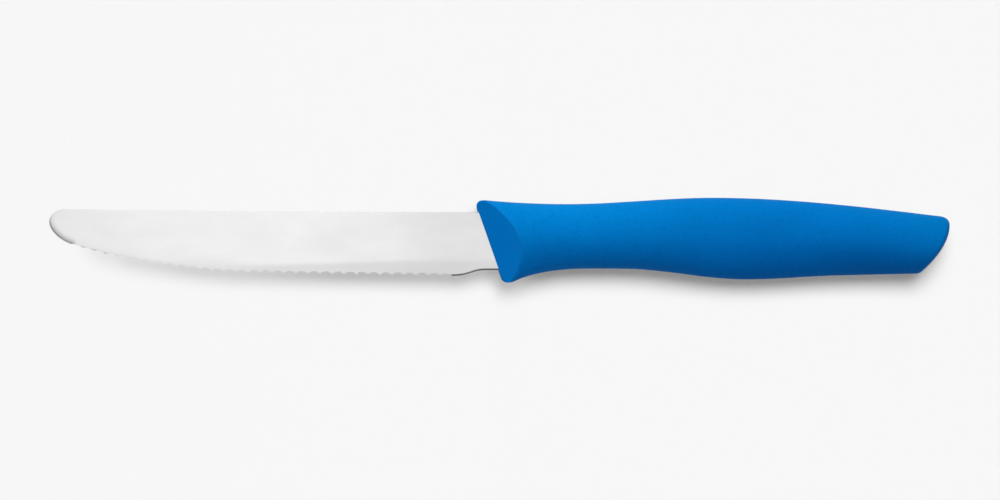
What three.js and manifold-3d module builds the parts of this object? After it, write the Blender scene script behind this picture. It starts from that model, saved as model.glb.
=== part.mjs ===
// A serrated table knife, lying on its side: a stamped steel blade whose tang is held in a moulded handle.
// Millimetres. X runs from the tip to the butt, Y from the cutting edge to the spine, Z through the blade.
// The pieces are drawn from the point where the handle's front line crosses the knife's mid line,
// and the finished knife is then set down with the middle of its underside at the origin.

import * as THREE from "three";
import { LoftGeometry } from "three/addons/geometries/LoftGeometry.js";
import { mergeVertices } from "three/addons/utils/BufferGeometryUtils.js";
import Module from "manifold-3d";

const wasm = await Module();
wasm.setup();

// Blade outline, heights measured from the mid line
const BLADE_LENGTH = 110;
const BLADE_THICKNESS = 1.2;
const BLADE_RIM_ROUND = 0.3;
const SPINE_RISE_AT_HANDLE = 7;
const SPINE_RISE_AT_TIP = 7.75;
const TIP_RISE = 4.4;
const TIP_ROUND_LENGTH = 3.9;
const FIRST_TOOTH_SETBACK = 5.4;
const FIRST_TOOTH_DROP = 1;
const FIRST_TOOTH_SLOPE = THREE.MathUtils.degToRad(17.5);
const NOSE_UPPER_PULL = 2.2;
const NOSE_LOWER_PULL = 2.6;
const BELLY_LENGTH = 46.3;
const BELLY_DROP = 8.25;
const BELLY_FRONT_PULL = 17.5;
const BELLY_REAR_PULL = 12;
const HEEL_SETBACK = 9.3;
const HEEL_DROP = 9;
const CHOIL_LENGTH = 8;
const RICASSO_DROP = 7.55;

// Teeth and the ground band above them
const TOOTH_PITCH = 3;
const TOOTH_DEPTH = 0.5;
const EDGE_THICKNESS = 0.25;
const RICASSO_EDGE_THICKNESS = 0.8;
const BAND_HEIGHT_AT_NOSE = 1.3;
const BAND_HEIGHT_AT_HEEL = 3.8;

// Tang, hidden in the handle
const SHOULDER_DEPTH = 8;
const TANG_DEPTH = 82;
const TANG_RISE = 5;
const TANG_DROP = 3.5;
const TANG_CORNER_RADIUS = 2;
const TANG_HOLE_RADIUS = 2.3;
const TANG_HOLE_DEPTHS = [27, 62];
const TANG_CLEARANCE = 0.3;

// Handle, with its stations measured from the front line
const HANDLE_LENGTH = 115;
const FRONT_RAKE = THREE.MathUtils.degToRad(19.3);
const FRONT_LIP = 0.4;
const FRONT_TOP_ROUND = 3.2;
const FRONT_TOE_ROUND = 1.9;
const FACET_ANGLE = THREE.MathUtils.degToRad(38);
const COLLAR_RISE = 10.4;
const COLLAR_TOP_SLOPE = -0.12;
const COLLAR_DROP = 11.5;
const COLLAR_BOTTOM_SLOPE = 0.6;
const COLLAR_DEPTH = 6.5;
const COLLAR_THICKNESS = 13;
const WAIST_TOP_DEPTH = 16.5;
const WAIST_RISE = 9;
const WAIST_BOTTOM_DEPTH = 29.5;
const WAIST_DROP = 7;
const WAIST_DEPTH = 26.5;
const WAIST_THICKNESS = 12.2;
const PALM_TOP_DEPTH = 57.5;
const PALM_RISE = 10.6;
const PALM_BOTTOM_DEPTH = 65.5;
const PALM_DROP = 9.65;
const PALM_FRONT_DEPTH = 47.5;
const PALM_REAR_DEPTH = 75.5;
const PALM_THICKNESS = 13;
const TAIL_DEPTH = 89.5;
const TAIL_DROP = 8.45;
const TAIL_SLOPE = 0.018;
const BUTT_RISE = 5.5;
const BUTT_TOP_SLOPE = -0.13;
const BUTT_THICKNESS = 10.4;
const BUTT_POINT_RISE = 3.7;
const BUTT_CORNER_LENGTH = 2.4;
const BUTT_SLANT_LENGTH = 9.1;
const BUTT_UPPER_PULL = 2.5;
const BUTT_LOWER_PULL = 4.1;

// Fineness of the faceted surfaces
const CURVE_STEPS = 10;
const TOOTH_STEPS = 6;
const BELLY_STEPS = 16;
const HANDLE_SIDES = 36;
const HANDLE_STEP = 3.2;
const HOLE_SIDES = 32;

// How far a cutting body reaches past what it cuts
const OVERCUT = 20;

const point = (x, y) => new THREE.Vector2(x, y);

// A closed solid made from a geometry, ready to be cut and joined.
function solid(geometry) {
  const bare = new THREE.BufferGeometry();
  bare.setAttribute("position", geometry.getAttribute("position"));
  bare.setIndex(geometry.getIndex());
  const merged = mergeVertices(bare);
  const vertProperties = new Float32Array(merged.getAttribute("position").array);
  const triVerts = new Uint32Array(merged.getIndex().array);
  return new wasm.Manifold(new wasm.Mesh({ numProp: 3, vertProperties, triVerts }));
}

function meshOf(name, body, material) {
  const { vertProperties, triVerts } = body.getMesh();
  const geometry = new THREE.BufferGeometry();
  geometry.setAttribute("position", new THREE.BufferAttribute(vertProperties, 3));
  geometry.setIndex(new THREE.BufferAttribute(triVerts, 1));
  geometry.computeVertexNormals();
  const mesh = new THREE.Mesh(geometry, material);
  mesh.name = name;
  return mesh;
}

// A plate of an outline drawn in the blade's plane, centred on that plane.
function plate(shape, thickness) {
  const options = { depth: thickness, bevelEnabled: false, curveSegments: CURVE_STEPS };
  return new THREE.ExtrudeGeometry(shape, options).translate(0, 0, -thickness / 2);
}

// The line of the tooth points: a curved belly, then a straight run to the heel.
function toothLine() {
  const first = point(-BLADE_LENGTH + FIRST_TOOTH_SETBACK, -FIRST_TOOTH_DROP);
  const bellyEnd = point(first.x + BELLY_LENGTH, -BELLY_DROP);
  const heel = point(-HEEL_SETBACK, -HEEL_DROP);
  const frontPull = point(Math.cos(FIRST_TOOTH_SLOPE), -Math.sin(FIRST_TOOTH_SLOPE));
  const rearPull = heel.clone().sub(bellyEnd).normalize();
  const line = new THREE.CurvePath();
  line.add(new THREE.CubicBezierCurve(
    first,
    first.clone().addScaledVector(frontPull, BELLY_FRONT_PULL),
    bellyEnd.clone().addScaledVector(rearPull, -BELLY_REAR_PULL),
    bellyEnd,
  ));
  line.add(new THREE.LineCurve(bellyEnd, heel));
  return line;
}

// One hollow of the edge, an arc between two tooth points that rises into the blade.
function hollow(from, to) {
  const half = from.distanceTo(to) / 2;
  const radius = (half * half + TOOTH_DEPTH * TOOTH_DEPTH) / (2 * TOOTH_DEPTH);
  const along = to.clone().sub(from).normalize();
  const outward = point(along.y, -along.x);
  const centre = from.clone().lerp(to, 0.5).addScaledVector(outward, radius - TOOTH_DEPTH);
  const start = from.clone().sub(centre).angle();
  const end = to.clone().sub(centre).angle();
  return new THREE.ArcCurve(centre.x, centre.y, radius, start, end, true).getPoints(TOOTH_STEPS);
}

function serratedEdge() {
  const line = toothLine();
  const teeth = Math.round(line.getLength() / TOOTH_PITCH);
  const edge = [line.getPoint(0)];
  for (let tooth = 0; tooth < teeth; tooth++) {
    const arc = hollow(line.getPoint(tooth / teeth), line.getPoint((tooth + 1) / teeth));
    edge.push(...arc.slice(1));
  }
  return edge;
}

// The round nose, from the foremost point down to the first tooth.
function noseCurve() {
  const foremost = point(-BLADE_LENGTH, TIP_RISE);
  const first = toothLine().getPoint(0);
  const pull = point(-Math.cos(FIRST_TOOTH_SLOPE), Math.sin(FIRST_TOOTH_SLOPE));
  return new THREE.CubicBezierCurve(
    foremost,
    point(foremost.x, foremost.y - NOSE_UPPER_PULL),
    first.clone().addScaledVector(pull, NOSE_LOWER_PULL),
    first,
  );
}

// The step from the heel up to the ricasso, which runs straight into the handle.
function choilCurve() {
  const front = -HEEL_SETBACK;
  const rear = front + CHOIL_LENGTH;
  const middle = (front + rear) / 2;
  return new THREE.CubicBezierCurve(
    point(front, -HEEL_DROP),
    point(middle, -HEEL_DROP),
    point(middle, -RICASSO_DROP),
    point(rear, -RICASSO_DROP),
  );
}

// The spine runs level out of the handle and lifts slightly towards the tip.
function spineCurve() {
  const tipX = -BLADE_LENGTH + TIP_ROUND_LENGTH;
  return new THREE.QuadraticBezierCurve(
    point(0, SPINE_RISE_AT_HANDLE),
    point(tipX / 2, SPINE_RISE_AT_HANDLE),
    point(tipX, SPINE_RISE_AT_TIP),
  );
}

function tipRound() {
  const centreX = -BLADE_LENGTH + TIP_ROUND_LENGTH;
  const height = SPINE_RISE_AT_TIP - TIP_RISE;
  return new THREE.EllipseCurve(centreX, TIP_RISE, TIP_ROUND_LENGTH, height, Math.PI / 2, Math.PI);
}

// The tang's corners from the lower shoulder round to the upper one, drawn larger by a margin.
function tangOutline(margin) {
  const shoulder = SHOULDER_DEPTH + margin;
  const end = TANG_DEPTH + margin;
  const top = TANG_RISE + margin;
  const bottom = -TANG_DROP - margin;
  const radius = TANG_CORNER_RADIUS + margin;
  const lower = new THREE.ArcCurve(end - radius, bottom + radius, radius, -Math.PI / 2, 0);
  const upper = new THREE.ArcCurve(end - radius, top - radius, radius, 0, Math.PI / 2);
  return [
    point(shoulder, -RICASSO_DROP - margin),
    point(shoulder, bottom),
    ...lower.getPoints(CURVE_STEPS),
    ...upper.getPoints(CURVE_STEPS),
    point(shoulder, top),
    point(shoulder, SPINE_RISE_AT_HANDLE + margin),
  ];
}

function tangHoles(radius) {
  const height = (TANG_RISE - TANG_DROP) / 2;
  return TANG_HOLE_DEPTHS.map((depth) => {
    const circle = new THREE.ArcCurve(depth, height, radius, 0, 2 * Math.PI, true);
    return new THREE.Path(circle.getPoints(HOLE_SIDES).slice(1));
  });
}

// The blank as it is stamped: blade and tang in one outline, with its rim slightly broken.
function blank() {
  const shape = new THREE.Shape([
    ...noseCurve().getPoints(CURVE_STEPS).slice(0, -1),
    ...serratedEdge().slice(0, -1),
    ...choilCurve().getPoints(CURVE_STEPS),
    ...tangOutline(0),
    ...spineCurve().getPoints(CURVE_STEPS).slice(0, -1),
    ...tipRound().getPoints(CURVE_STEPS).slice(0, -1),
  ]);
  shape.holes = tangHoles(TANG_HOLE_RADIUS);
  const options = {
    depth: BLADE_THICKNESS - 2 * BLADE_RIM_ROUND,
    bevelSize: BLADE_RIM_ROUND,
    bevelThickness: BLADE_RIM_ROUND,
    bevelOffset: -BLADE_RIM_ROUND,
    bevelSegments: 1,
  };
  return new THREE.ExtrudeGeometry(shape, options).translate(0, 0, -options.depth / 2);
}

// One upright section of the grinding envelope: thin at the edge, as thick as the blade at the band's top.
function grindSection(x, edgeY, bandTop, edgeThickness) {
  const edgeHalf = edgeThickness / 2;
  const taper = (BLADE_THICKNESS / 2 - edgeHalf) / (bandTop - edgeY);
  const top = SPINE_RISE_AT_TIP + OVERCUT;
  const topHalf = edgeHalf + taper * (top - edgeY);
  const corners = [[edgeY - OVERCUT, edgeHalf], [edgeY, edgeHalf], [top, topHalf]];
  return [
    ...corners.map(([y, half]) => new THREE.Vector3(x, y, -half)),
    ...corners.reverse().map(([y, half]) => new THREE.Vector3(x, y, half)),
  ];
}

// The envelope that the two grinding wheels leave along the edge.
function grind() {
  const line = toothLine();
  const first = line.getPoint(0);
  const ahead = first.x + BLADE_LENGTH + OVERCUT;
  const aheadY = first.y + ahead * Math.tan(FIRST_TOOTH_SLOPE);
  const bandTop = -HEEL_DROP + BAND_HEIGHT_AT_HEEL;
  const sections = [grindSection(first.x - ahead, aheadY, aheadY + BAND_HEIGHT_AT_NOSE, EDGE_THICKNESS)];
  for (let step = 0; step <= BELLY_STEPS; step++) {
    const share = step / BELLY_STEPS;
    const { x, y } = line.getPoint(share);
    const height = THREE.MathUtils.lerp(BAND_HEIGHT_AT_NOSE, BAND_HEIGHT_AT_HEEL, share * share);
    sections.push(grindSection(x, y, y + height, EDGE_THICKNESS));
  }
  const behind = -HEEL_SETBACK + TOOTH_PITCH / 2;
  sections.push(grindSection(behind, -HEEL_DROP, bandTop, RICASSO_EDGE_THICKNESS));
  sections.push(grindSection(TANG_DEPTH + OVERCUT, -HEEL_DROP, bandTop, RICASSO_EDGE_THICKNESS));
  return new LoftGeometry(sections, { capStart: true, capEnd: true });
}

function bladeBody() {
  return solid(blank()).intersect(solid(grind()));
}

// A smooth line through stations of [place, value, slope], running on straight past both ends.
function lineThrough(stations) {
  return (place) => {
    const after = stations.findIndex(([at]) => at > place);
    if (after < 1) {
      const [at, value, slope] = after === 0 ? stations[0] : stations.at(-1);
      return value + slope * (place - at);
    }
    const [at0, value0, slope0] = stations[after - 1];
    const [at1, value1, slope1] = stations[after];
    const span = at1 - at0;
    const t = (place - at0) / span;
    const rise = t * t * (3 - 2 * t);
    const pull0 = t * (1 - t) * (1 - t) * slope0 * span;
    const pull1 = t * t * (t - 1) * slope1 * span;
    return THREE.MathUtils.lerp(value0, value1, rise) + pull0 + pull1;
  };
}

// The front line, where the facets meet the blade's flats, and the rim of the handle just ahead of it.
const frontX = (y) => -y * Math.tan(FRONT_RAKE);
const rimX = (y) => frontX(y) - FRONT_LIP / Math.cos(FRONT_RAKE);

const topLine = lineThrough([
  [frontX(COLLAR_RISE), COLLAR_RISE, COLLAR_TOP_SLOPE],
  [WAIST_TOP_DEPTH, WAIST_RISE, 0],
  [PALM_TOP_DEPTH, PALM_RISE, 0],
  [HANDLE_LENGTH, BUTT_RISE, BUTT_TOP_SLOPE],
]);

const bottomLine = lineThrough([
  [frontX(-COLLAR_DROP), -COLLAR_DROP, COLLAR_BOTTOM_SLOPE],
  [WAIST_BOTTOM_DEPTH, -WAIST_DROP, 0],
  [PALM_BOTTOM_DEPTH, -PALM_DROP, 0],
  [TAIL_DEPTH, -TAIL_DROP, TAIL_SLOPE],
]);

const thicknessLine = lineThrough([
  [COLLAR_DEPTH, COLLAR_THICKNESS, 0],
  [WAIST_DEPTH, WAIST_THICKNESS, 0],
  [PALM_FRONT_DEPTH, PALM_THICKNESS, 0],
  [PALM_REAR_DEPTH, PALM_THICKNESS, 0],
  [HANDLE_LENGTH, BUTT_THICKNESS, 0],
]);

// An oval section of the handle, slanted like the front line at a share of 0 and like the butt at 1.
// A side of the polygon lies across each flank's crown, so that the knife rests on it.
function handleSection(share) {
  const topX = THREE.MathUtils.lerp(frontX(COLLAR_RISE), HANDLE_LENGTH, share);
  const bottomX = THREE.MathUtils.lerp(frontX(-COLLAR_DROP), HANDLE_LENGTH - BUTT_SLANT_LENGTH, share);
  const top = point(topX, topLine(topX));
  const bottom = point(bottomX, bottomLine(bottomX));
  const half = thicknessLine((topX + bottomX) / 2) / 2;
  const crown = Math.cos(Math.PI / HANDLE_SIDES);
  return Array.from({ length: HANDLE_SIDES }, (_, side) => {
    const angle = ((side + 0.5) * 2 * Math.PI) / HANDLE_SIDES;
    const { x, y } = top.clone().lerp(bottom, (1 - Math.cos(angle)) / 2);
    return new THREE.Vector3(x, y, (half / crown) * Math.sin(angle));
  });
}

// The handle before its ends are shaped, one step longer than the finished one at each end.
function handleBar() {
  const steps = Math.ceil(HANDLE_LENGTH / HANDLE_STEP);
  const sections = Array.from({ length: steps + 3 }, (_, step) => handleSection((step - 1) / steps));
  return new LoftGeometry(sections, { capStart: true, capEnd: true });
}

const cutDepth = () => 2 * Math.max(COLLAR_THICKNESS, PALM_THICKNESS);

// What lies in front of the handle's raked rim and its two rounded corners.
function frontWaste() {
  const top = point(rimX(COLLAR_RISE), COLLAR_RISE);
  const bottom = point(rimX(-COLLAR_DROP), -COLLAR_DROP);
  const down = bottom.clone().sub(top).normalize();
  const upper = top.clone().addScaledVector(down, FRONT_TOP_ROUND);
  const lower = bottom.clone().addScaledVector(down, -FRONT_TOE_ROUND);
  const topX = top.x + FRONT_TOP_ROUND;
  const bottomX = bottom.x + FRONT_TOE_ROUND;
  const shape = new THREE.Shape();
  shape.moveTo(topX, topLine(topX));
  shape.lineTo(topX, top.y + OVERCUT);
  shape.lineTo(top.x - OVERCUT, top.y + OVERCUT);
  shape.lineTo(top.x - OVERCUT, bottom.y - OVERCUT);
  shape.lineTo(bottomX, bottom.y - OVERCUT);
  shape.lineTo(bottomX, bottomLine(bottomX));
  shape.quadraticCurveTo(bottom.x, bottom.y, lower.x, lower.y);
  shape.lineTo(upper.x, upper.y);
  shape.quadraticCurveTo(top.x, top.y, topX, topLine(topX));
  return plate(shape, cutDepth());
}

// What lies behind the handle's slanted butt.
function buttWaste() {
  const topX = HANDLE_LENGTH - BUTT_CORNER_LENGTH;
  const bottomX = HANDLE_LENGTH - BUTT_SLANT_LENGTH;
  const bottomY = bottomLine(bottomX);
  const farX = HANDLE_LENGTH + OVERCUT;
  const shape = new THREE.Shape();
  shape.moveTo(topX, topLine(topX));
  shape.quadraticCurveTo(HANDLE_LENGTH, topLine(HANDLE_LENGTH), HANDLE_LENGTH, BUTT_POINT_RISE);
  shape.bezierCurveTo(
    HANDLE_LENGTH, BUTT_POINT_RISE - BUTT_UPPER_PULL,
    bottomX + BUTT_LOWER_PULL, bottomY,
    bottomX, bottomY,
  );
  shape.lineTo(bottomX, bottomY - OVERCUT);
  shape.lineTo(farX, bottomY - OVERCUT);
  shape.lineTo(farX, topLine(topX) + OVERCUT);
  shape.lineTo(topX, topLine(topX) + OVERCUT);
  return plate(shape, cutDepth());
}

// The wedge whose two slopes leave a flat facet on each flank, meeting the blade at the front line.
function frontWedge() {
  const reach = HANDLE_LENGTH + OVERCUT;
  const apex = -BLADE_THICKNESS / 2 / Math.tan(FACET_ANGLE);
  const spread = (reach - apex) * Math.tan(FACET_ANGLE);
  const shape = new THREE.Shape([point(apex, 0), point(reach, -spread), point(reach, spread)]);
  const length = COLLAR_RISE + COLLAR_DROP + 2 * OVERCUT + 2 * reach * Math.sin(FRONT_RAKE);
  const wedge = plate(shape, length);
  const across = new THREE.Vector3(Math.cos(FRONT_RAKE), Math.sin(FRONT_RAKE), 0);
  const up = new THREE.Vector3(0, 0, 1);
  const along = new THREE.Vector3().crossVectors(across, up);
  return wedge.applyMatrix4(new THREE.Matrix4().makeBasis(across, up, along));
}

// The space round the tang, open at the front line, with a moulded key through each hole of the tang.
function tangPocket() {
  const mouth = rimX(COLLAR_RISE) - OVERCUT;
  const shape = new THREE.Shape([
    point(mouth, -RICASSO_DROP - TANG_CLEARANCE),
    ...tangOutline(TANG_CLEARANCE),
    point(mouth, SPINE_RISE_AT_HANDLE + TANG_CLEARANCE),
  ]);
  shape.holes = tangHoles(TANG_HOLE_RADIUS - TANG_CLEARANCE);
  return plate(shape, BLADE_THICKNESS + 2 * TANG_CLEARANCE);
}

function handleBody() {
  return solid(handleBar())
    .subtract(solid(frontWaste()))
    .subtract(solid(buttWaste()))
    .intersect(solid(frontWedge()))
    .subtract(solid(tangPocket()));
}

const satinSteel = new THREE.MeshStandardMaterial({ color: 0xd8dadb, roughness: 0.35, metalness: 1 });
const blueMoulding = new THREE.MeshStandardMaterial({ color: 0x0073bd, roughness: 0.55, metalness: 0 });

const knife = new THREE.Group();
knife.add(meshOf("blade", bladeBody(), satinSteel));
knife.add(meshOf("handle", handleBody(), blueMoulding));

const box = new THREE.Box3().setFromObject(knife);
const middle = box.getCenter(new THREE.Vector3());
knife.position.set(-middle.x, -middle.y, -box.min.z);

export default knife;
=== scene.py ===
"""A serrated table knife lying on a pale studio floor: a satin steel blade in a blue moulded handle."""

import math
from collections import namedtuple

import bmesh
import bpy
from bpy.props import FloatProperty, FloatVectorProperty, PointerProperty
from mathutils import Matrix, Vector
from mathutils.kdtree import KDTree


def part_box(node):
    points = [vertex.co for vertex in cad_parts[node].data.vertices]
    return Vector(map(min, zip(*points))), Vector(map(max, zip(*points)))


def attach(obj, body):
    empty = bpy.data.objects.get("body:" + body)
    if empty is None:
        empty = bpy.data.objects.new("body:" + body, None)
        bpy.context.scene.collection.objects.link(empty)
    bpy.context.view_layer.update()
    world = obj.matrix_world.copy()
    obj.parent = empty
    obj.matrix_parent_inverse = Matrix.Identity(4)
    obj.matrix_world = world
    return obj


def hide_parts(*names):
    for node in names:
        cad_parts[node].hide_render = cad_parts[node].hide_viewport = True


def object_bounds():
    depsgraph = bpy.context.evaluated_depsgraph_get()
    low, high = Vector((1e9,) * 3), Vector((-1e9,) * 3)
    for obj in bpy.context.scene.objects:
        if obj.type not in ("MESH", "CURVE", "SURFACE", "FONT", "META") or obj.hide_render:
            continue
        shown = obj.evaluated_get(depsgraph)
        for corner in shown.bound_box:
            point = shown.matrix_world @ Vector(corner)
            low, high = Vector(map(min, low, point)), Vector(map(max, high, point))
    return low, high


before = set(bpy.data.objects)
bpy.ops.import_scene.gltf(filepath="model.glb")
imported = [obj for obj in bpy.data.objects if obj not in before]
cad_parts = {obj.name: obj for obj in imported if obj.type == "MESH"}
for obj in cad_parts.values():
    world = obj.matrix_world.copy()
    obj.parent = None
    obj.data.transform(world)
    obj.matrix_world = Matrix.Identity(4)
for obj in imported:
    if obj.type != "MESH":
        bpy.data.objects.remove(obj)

bl_info = {
    "name": "Serrated Table Knife",
    "version": (1, 0, 0),
    "blender": (4, 5, 0),
    "location": "View3D > Sidebar > Knife",
    "description": "Models a table knife with a scalloped steel blade and a moulded handle",
    "category": "Add Mesh",
}

MM = 0.001

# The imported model's boxes, from which the pieces take their places
CAD_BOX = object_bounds()
BLADE_LOW, BLADE_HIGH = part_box("blade")
HANDLE_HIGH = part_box("handle")[1]

# The pieces are drawn from the point where the handle's front line crosses the knife's mid line:
# X runs to the butt, Y to the spine, and Z is 0 in the middle of the blade's thickness
BLADE_LENGTH = 110 * MM
PALM_RISE = 10.557 * MM
BLADE_THICKNESS = BLADE_HIGH.z - BLADE_LOW.z
ORIGIN = Vector((
    BLADE_LOW.x + BLADE_LENGTH,
    HANDLE_HIGH.y - PALM_RISE,
    (BLADE_LOW.z + BLADE_HIGH.z) / 2,
))
HANDLE_LENGTH = HANDLE_HIGH.x - ORIGIN.x

# Blade outline, heights measured from the mid line
SPINE_RISE_AT_HANDLE = 7.0 * MM
SPINE_RISE_AT_TIP = 7.75 * MM
TIP_RISE = 4.4 * MM
TIP_ROUND_LENGTH = 3.9 * MM
FIRST_TOOTH = Vector((-BLADE_LENGTH + 5.4 * MM, -1.0 * MM))
FIRST_TOOTH_SLOPE = math.radians(17.5)
NOSE_UPPER_PULL = 2.2 * MM
NOSE_LOWER_PULL = 2.6 * MM
BELLY_END = Vector((FIRST_TOOTH.x + 46.3 * MM, -8.25 * MM))
BELLY_FRONT_PULL = 17.5 * MM
BELLY_REAR_PULL = 12.0 * MM
HEEL = Vector((-9.3 * MM, -9.0 * MM))
CHOIL_LENGTH = 8.5 * MM
CHOIL_BEND = 4.7 * MM
RICASSO_DROP = 7.55 * MM
SHOULDER_DEPTH = 8.0 * MM
TANG_DEPTH = 82.0 * MM
TANG_RISE = 5.0 * MM
TANG_DROP = 3.5 * MM

# Teeth along the toothed run, whose places are shares of its length. They start shallow at the nose, with
# points that are blunt over a share of the run, where they are smoother and carry painted shade, and have
# their full depth from a share on
NOSE_DEPTH_SHARE = 0.36
FULL_DEPTH_SHARE = 0.25
BLUNT_POINTS_SHARE = 0.18
BLUNT_FULLNESS = 0.6
BLUNT_POLISH_AND_SHADE = 0.6

# Ground band along the toothed run: how fast its height grows at both ends, where it has its full height,
# where its slope gets steeper, and how far before the heel it gets flatter again
NOSE_BAND_GROWTH = 1.5 * MM
HEEL_BAND_GROWTH = 5.2 * MM
FULL_BAND_SHARE = 0.88
STEEPER_FROM = 0.36
STEEPER_OVER = 0.18
FLATTER_OVER = 18.0 * MM

# Softness of the band's upper line, and half the width over which the finish changes there
BAND_SOFTNESS = 0.08 * MM
BAND_CREASE = 0.45 * MM

# The tip's edge is broken up to a share of the blade's height and fades out over another share below it.
# Towards that edge the blade softly loses a share of its thickness
TIP_EDGE_SHARE = 0.84
TIP_EDGE_FADE = 0.45
TIP_FALL_SHARE = 0.5

# How far before the heel the choil's broken edge starts, and how wide the strips along such edges and the
# spine are, which are smoother and, except on the spine, carry painted shade: a dark line standing in for the
# dark surroundings that the rounded rim reflects
CHOIL_EDGE_LEAD = 0.2 * MM
POLISH_AND_SHADE_WIDTH = 0.6 * MM

# Handle outline, with its stations measured from the front line
FRONT_RAKE = math.radians(19.3)
FRONT_LIP = 0.4 * MM
FRONT_TOP_ROUND = 3.2 * MM
TOE_RIM_END = 9.7 * MM
TOE_FLAT_DROP = 10.9 * MM
TOE_BOTTOM_START = 6.6 * MM
TOE_BOTTOM_PULL = 1.0 * MM
COLLAR_RISE = 10.2 * MM
COLLAR_DROP = 11.3 * MM
BUTT_POINT_RISE = 3.7 * MM
BUTT_CORNER_LENGTH = 2.4 * MM
BUTT_SLANT_LENGTH = 7.5 * MM
BUTT_UPPER_PULL = Vector((0.0, -3.9 * MM))
BUTT_LOWER_PULL = Vector((4.1 * MM, 3.4 * MM))
BUTT_HEEL_ROUND = 0.9 * MM


def front_x(y):
    """Where the facets meet the blade's flats, at a height."""
    return -y * math.tan(FRONT_RAKE)


def rim_x(y):
    """Where the handle's thin front rim stands, just ahead of the front line."""
    return front_x(y) - FRONT_LIP / math.cos(FRONT_RAKE)


# Stations of place, value and slope along the handle
TOP_STATIONS = (
    (front_x(COLLAR_RISE), COLLAR_RISE, -0.104),
    (19.7 * MM, 8.98 * MM, 0.0),
    (55.8 * MM, PALM_RISE, 0.0),
    (HANDLE_LENGTH, 5.65 * MM, -0.124),
)
BOTTOM_STATIONS = (
    (front_x(-COLLAR_DROP), -COLLAR_DROP, 0.5),
    (33.2 * MM, -7.19 * MM, 0.0),
    (64.1 * MM, -9.85 * MM, 0.0),
    (88.4 * MM, -8.82 * MM, 0.022),
)
THICKNESS_STATIONS = (
    (6.5 * MM, 13.0 * MM, 0.0),
    (26.5 * MM, 12.2 * MM, 0.0),
    (47.5 * MM, 13.0 * MM, 0.0),
    (75.5 * MM, 13.0 * MM, 0.0),
    (HANDLE_LENGTH, 12.0 * MM, 0.0),
)

# How much leaner than an oval the handle is below its crown
LEAN_STATIONS = (
    (4.0 * MM, 0.62, 0.0),
    (16.0 * MM, 0.3, 0.0),
    (58.0 * MM, 0.3, 0.0),
    (86.0 * MM, 0.58, 0.0),
)

# Strips along the handle's edges that handling rubs, and how thick the handle is where the crease's starts
WORN_CREASE_WIDTH = 1.2 * MM
WORN_FRONT_WIDTH = 0.8 * MM
WORN_BUTT_WIDTH = 1.2 * MM
WORN_CREASE_START = 0.6 * MM

# Depth below the flank's line over which a front facet takes on its painted light
FACET_BLEND = 0.8 * MM

# How far the shape of an end curve reaches into a piece
TIP_REACH = 16.0 * MM
SPINE_REACH = 30.0 * MM
FRONT_REACH = 14.0 * MM
BUTT_REACH = 16.0 * MM

# Fineness of the meshes
CURVE_STEPS = 48
TOOTH_STEPS = 12
FIRST_TOOTH_STEPS = 30
FIRST_TOOTH_CROWDING = 1.6
TIP_LINE_STEPS = 1000
CHOIL_STEPS = 24
HIDDEN_STEP = 1.5 * MM
HANDLE_ROWS = 144

# Rows across the blade: fine in a zone along the edge, then up the band, over its upper line and up the flat,
# and fine again in a zone along the spine, whose width is measured in widths of the spine's rounding
EDGE_ZONE = 0.6 * MM
EDGE_STEPS = (0.0, 0.02, 0.06, 0.12, 0.2, 0.35, 0.5, 0.65, 0.75, 0.85, 1.0)
BAND_ROWS = 10
CREASE_ROWS = 6
FLAT_ROWS = 16
SPINE_ZONE_ROUNDINGS = 1.5
SPINE_STEPS = (0.75, 0.5, 0.32, 0.18, 0.08, 0.02, 0.0)

# Rings along the handle: the end of each stretch, from the front and then from the butt, and the step in it.
# The front's rounding is a stretch of its own, between the first one and the others
FIRST_RINGS = (0.03 * MM, 0.015 * MM)
FRONT_ROUND_STEP = 0.07 * MM
FRONT_RINGS = (
    (11.0 * MM, 0.16 * MM),
    (20.0 * MM, 0.6 * MM),
)
BUTT_RINGS = (
    (8.0 * MM, 1.3 * MM),
    (2.5 * MM, 0.5 * MM),
    (0.3 * MM, 0.15 * MM),
    (0.05 * MM, 0.05 * MM),
    (0.0, 0.02 * MM),
)

# Points closer than the first are one point, and a length below the second is none
SAME_POINT = 0.001 * MM
NO_LENGTH = 0.0005 * MM

# Edges at which the surface turns by more than this stay sharp
BLADE_SHARP_ANGLE = math.radians(32)
HANDLE_SHARP_ANGLE = math.radians(50)

# Grain of the finishes along X, Y and Z, and the span of values that most of such noise has
STEEL_LINES = (0.22 * MM, 14 * MM, 14 * MM)
STEEL_PATCHES = (16 * MM, 7 * MM, 16 * MM)
GRIND_LINES = (0.3 * MM, 5 * MM, 5 * MM)
MOULD_GRAIN = (0.3 * MM, 0.3 * MM, 0.3 * MM)
MOULD_PITS = (0.9 * MM, 0.9 * MM, 0.9 * MM)
MOULD_PATCHES = (14 * MM, 9 * MM, 9 * MM)
WEAR_PATCH = 1.6 * MM
NOISE_LOW = 0.3
NOISE_HIGH = 0.7

# Colours of the finishes as shares of their plain colour, and how much of the mottling a facet keeps
DARK_STEEL = 0.93
# Painted shade: the darker steel of the broken edges stands in for the dark surroundings that their rims
# reflect
EDGE_PAINTED_SHADE = 0.45
DEEP_BLUE = 0.81
RUBBED_BLUE = 1.12
RUBBED_LIFT = 0.004
# Painted light: the front facets are coloured lighter and bluer, standing in for the light that they catch
FACET_PAINTED_LIGHT = Vector((1.055, 1.055, 1.13))
FACET_MOTTLING = 0.4

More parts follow.
